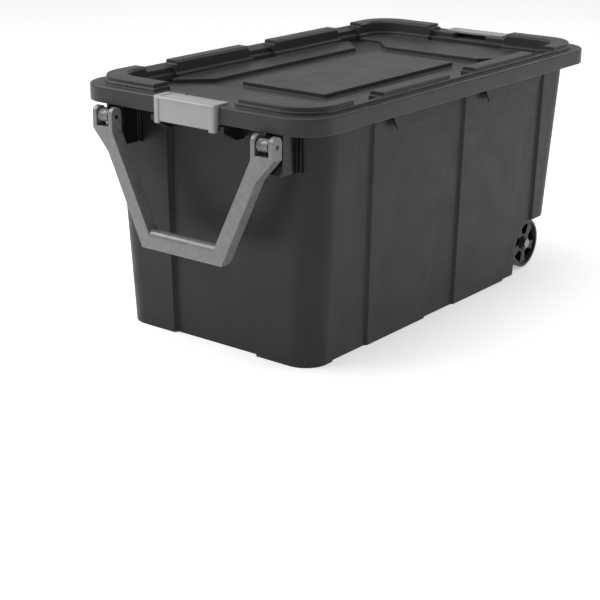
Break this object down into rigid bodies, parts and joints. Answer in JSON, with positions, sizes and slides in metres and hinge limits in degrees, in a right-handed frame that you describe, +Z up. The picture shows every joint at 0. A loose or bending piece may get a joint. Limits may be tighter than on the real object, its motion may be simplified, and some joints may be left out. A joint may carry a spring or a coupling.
{
  "type": "wheeled storage tote",
  "caption": "Large lidded storage tote of drafted, ribbed plastic with end latches, a swinging V-shaped pull handle at one end and a pair of wheels under the other.",
  "frame": {"origin": "on the floor, at the middle of the tub's flat base", "axes": "+X along the length from the pull handle to the wheels, +Z up, +Y to the left side of someone looking along +X"},
  "size_m": [0.9645, 0.524, 0.463],
  "materials": {
    "tub_plastic": "fine grained matt moulding",
    "lid_plastic": "fine grained matt moulding",
    "grey_plastic": "light grey satin moulding",
    "black_gloss": "polished black moulding",
    "wheel_plastic": "semi-gloss black moulding",
    "steel": "plain bright steel"
  },
  "bodies": {
    "tub_body": {"tub": "tub_plastic", "handle_bracket_left": "black_gloss", "handle_bracket_right": "black_gloss", "handle_pin_left": "steel", "handle_pin_right": "steel", "latch_pin_front": "steel", "latch_pin_rear": "steel", "axle_pin_left": "steel", "axle_pin_right": "steel"},
    "lid_body": {"lid": "lid_plastic"},
    "handle_body": {"pull_handle": "grey_plastic"},
    "latch_front_body": {"latch_front": "grey_plastic"},
    "latch_rear_body": {"latch_rear": "grey_plastic"},
    "wheel_left_body": {"wheel_left": "wheel_plastic"},
    "wheel_right_body": {"wheel_right": "wheel_plastic"}
  },
  "joints": [
    {"name": "lid_lift", "type": "slide", "parent": "tub_body", "child": "lid_body", "axis": [0, 0, 1], "range_m": [0, 0.25]},
    {"name": "handle_swing", "type": "hinge", "parent": "tub_body", "child": "handle_body", "pos_m": [-0.476, 0, 0.403], "axis": [0, 1, 0], "range_deg": [-3, 105]},
    {"name": "latch_front_open", "type": "hinge", "parent": "tub_body", "child": "latch_front_body", "pos_m": [-0.462, 0, 0.412], "axis": [0, -1, 0], "range_deg": [0, 115]},
    {"name": "latch_rear_open", "type": "hinge", "parent": "tub_body", "child": "latch_rear_body", "pos_m": [0.462, 0, 0.412], "axis": [0, 1, 0], "range_deg": [0, 115]},
    {"name": "wheel_left_spin", "type": "hinge", "parent": "tub_body", "child": "wheel_left_body", "pos_m": [0.341, 0.189, 0.053], "axis": [0, 1, 0], "continuous": true},
    {"name": "wheel_right_spin", "type": "hinge", "parent": "tub_body", "child": "wheel_right_body", "pos_m": [0.341, -0.189, 0.053], "axis": [0, 1, 0], "continuous": true}
  ]
}
